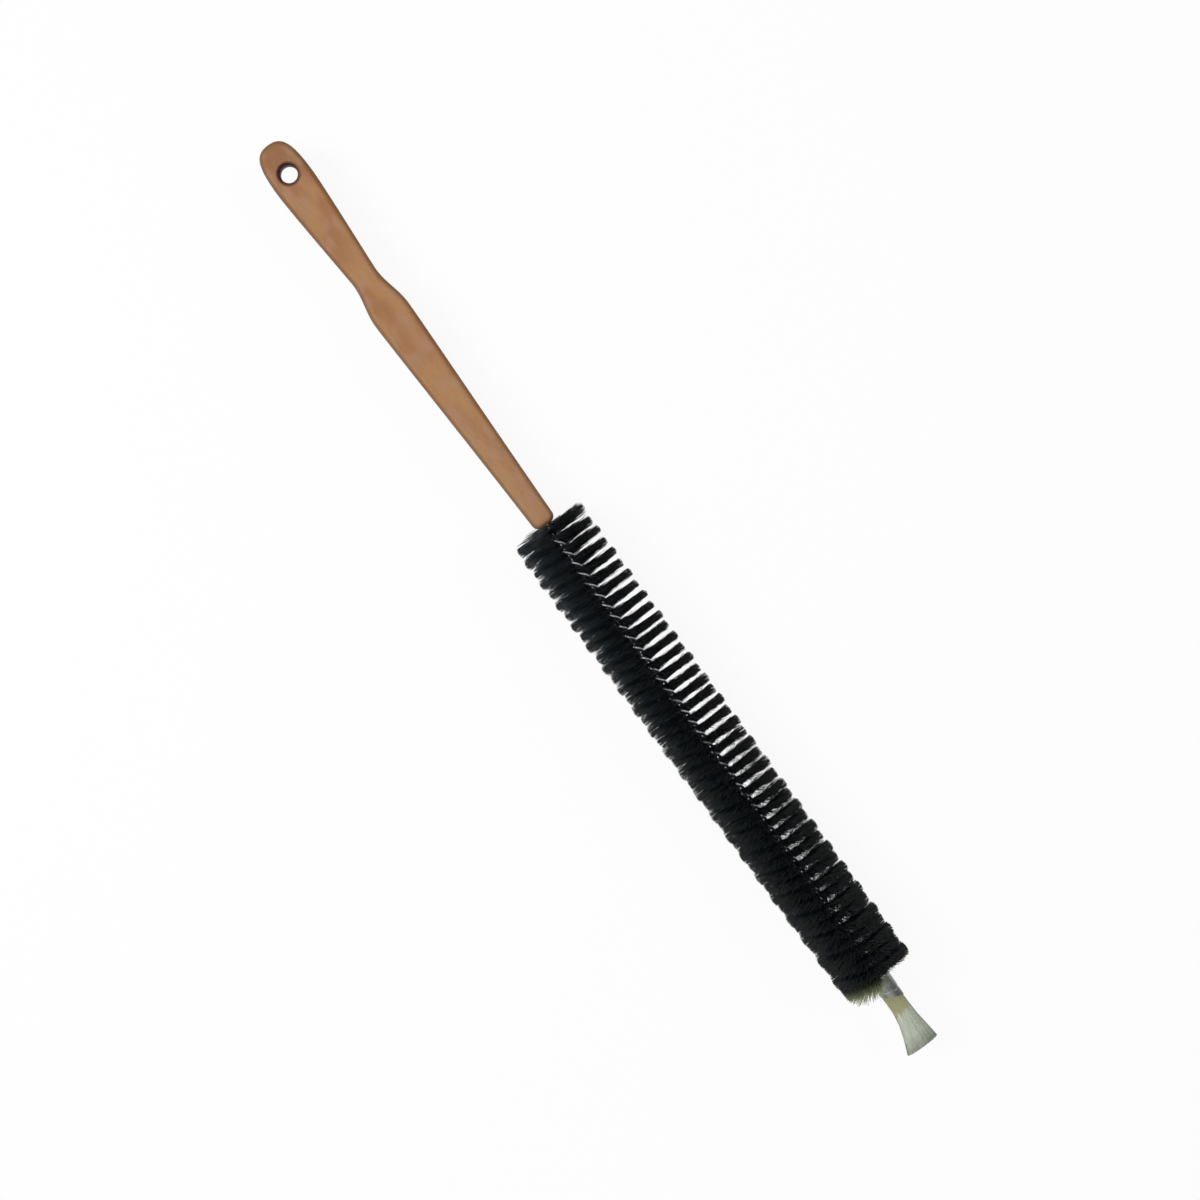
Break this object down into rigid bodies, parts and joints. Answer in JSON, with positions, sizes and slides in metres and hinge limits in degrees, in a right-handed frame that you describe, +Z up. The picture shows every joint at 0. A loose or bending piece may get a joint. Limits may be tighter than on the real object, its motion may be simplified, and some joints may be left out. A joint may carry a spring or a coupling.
{
  "type": "radiator brush",
  "caption": "Radiator brush: a flat wooden handle with a hanging hole, a long twisted-wire head of black bristle, and a small pale tuft in a metal ferrule at the tip.",
  "frame": {"origin": "on the floor, below the middle of the length and width, with the brush lying on its bristles", "axes": "+X along the brush from the handle to the tip, +Y across the handle's broad face, +Z up, square to that face"},
  "size_m": [0.7014, 0.0524, 0.0495],
  "materials": {
    "oiled_wood": "oiled, satin, fine grain",
    "galvanised_wire": "galvanised, dull",
    "black_bristle": "near-black bristle, slight sheen",
    "ferrule_metal": "plain sheet metal, satin",
    "pale_bristle": "pale grey-cream bristle, trimmed"
  },
  "bodies": {
    "root": {"handle": "oiled_wood", "core_wire_a": "galvanised_wire", "core_wire_b": "galvanised_wire", "tuft_01": "black_bristle", "tuft_02": "black_bristle", "tuft_03": "black_bristle", "tuft_04": "black_bristle", "tuft_05": "black_bristle", "tuft_06": "black_bristle", "tuft_07": "black_bristle", "tuft_08": "black_bristle", "tuft_09": "black_bristle", "tuft_10": "black_bristle", "tuft_11": "black_bristle", "tuft_12": "black_bristle", "tuft_13": "black_bristle", "tuft_14": "black_bristle", "tuft_15": "black_bristle", "tuft_16": "black_bristle", "tuft_17": "black_bristle", "tuft_18": "black_bristle", "tuft_19": "black_bristle", "tuft_20": "black_bristle", "tuft_21": "black_bristle", "tuft_22": "black_bristle", "tuft_23": "black_bristle", "tuft_24": "black_bristle", "tuft_25": "black_bristle", "tuft_26": "black_bristle", "tuft_27": "black_bristle", "tuft_28": "black_bristle", "tuft_29": "black_bristle", "tuft_30": "black_bristle", "tuft_31": "black_bristle", "tuft_32": "black_bristle", "tuft_33": "black_bristle", "tuft_34": "black_bristle", "tuft_35": "black_bristle", "tuft_36": "black_bristle", "tuft_37": "black_bristle", "tuft_38": "black_bristle", "tuft_39": "black_bristle", "tuft_40": "black_bristle", "tuft_41": "black_bristle", "tuft_42": "black_bristle", "tuft_43": "black_bristle", "ferrule": "ferrule_metal", "tip_tuft": "pale_bristle"}
  },
  "joints": []
}
